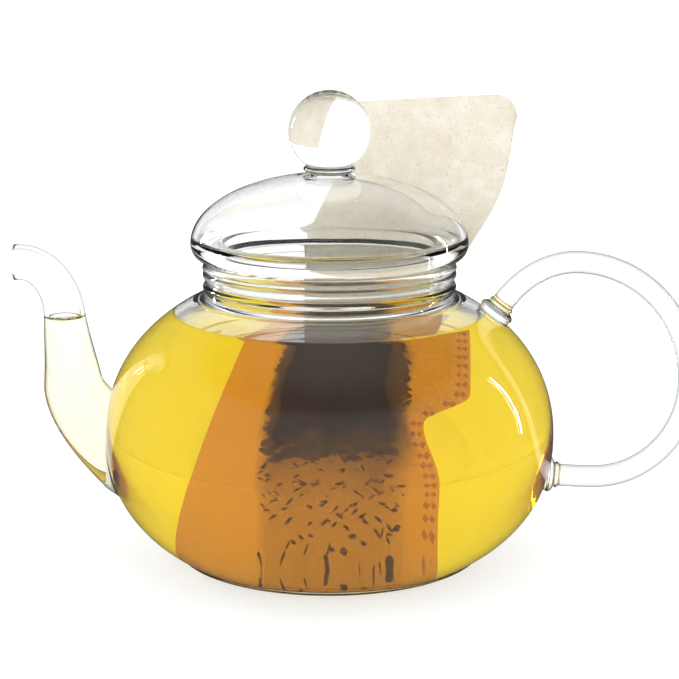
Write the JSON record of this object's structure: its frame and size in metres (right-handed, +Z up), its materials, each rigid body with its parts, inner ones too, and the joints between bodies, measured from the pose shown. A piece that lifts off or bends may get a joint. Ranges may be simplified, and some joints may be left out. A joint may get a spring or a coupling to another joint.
{
  "type": "glass teapot",
  "caption": "Clear glass teapot with a round bulb, curved spout, loop handle and domed lid with a ball knob, holding a paper tea filter that folds out over the rim.",
  "frame": {"origin": "centre of the flat foot, on the pot's axis, in the plane that the pot stands on", "axes": "+Z up along the pot's axis, +X towards the handle, -X towards the spout, +Y to the back, where the filter's flap stands"},
  "size_m": [0.2215, 0.145, 0.1519],
  "materials": {
    "clear_glass": "polished",
    "thick_glass": "polished",
    "dry_paper": "matte",
    "wet_paper": "matte",
    "tea_leaves": "matte",
    "tea": "polished"
  },
  "bodies": {
    "pot": {"pot_floor": "clear_glass", "pot_belly": "clear_glass", "pot_shoulder": "clear_glass", "neck_collar": "clear_glass", "rim_bead": "thick_glass", "spout": "clear_glass", "spout_lip": "thick_glass", "handle": "thick_glass", "handle_upper_seal": "thick_glass", "handle_lower_seal": "thick_glass", "filter_pouch": "wet_paper", "filter_left_crimp": "wet_paper", "filter_right_crimp": "wet_paper", "filter_bottom_crimp": "wet_paper", "filter_flap": "dry_paper", "tea_leaves": "tea_leaves"},
    "lid": {"lid_dome": "clear_glass", "lid_edge": "thick_glass", "lid_skirt": "clear_glass", "knob_stem": "thick_glass", "knob_ball": "thick_glass"}
  },
  "joints": [
    {"name": "lid_lift", "type": "slide", "parent": "pot", "child": "lid", "axis": [0, 0, 1], "range_m": [0, 0.07]}
  ]
}
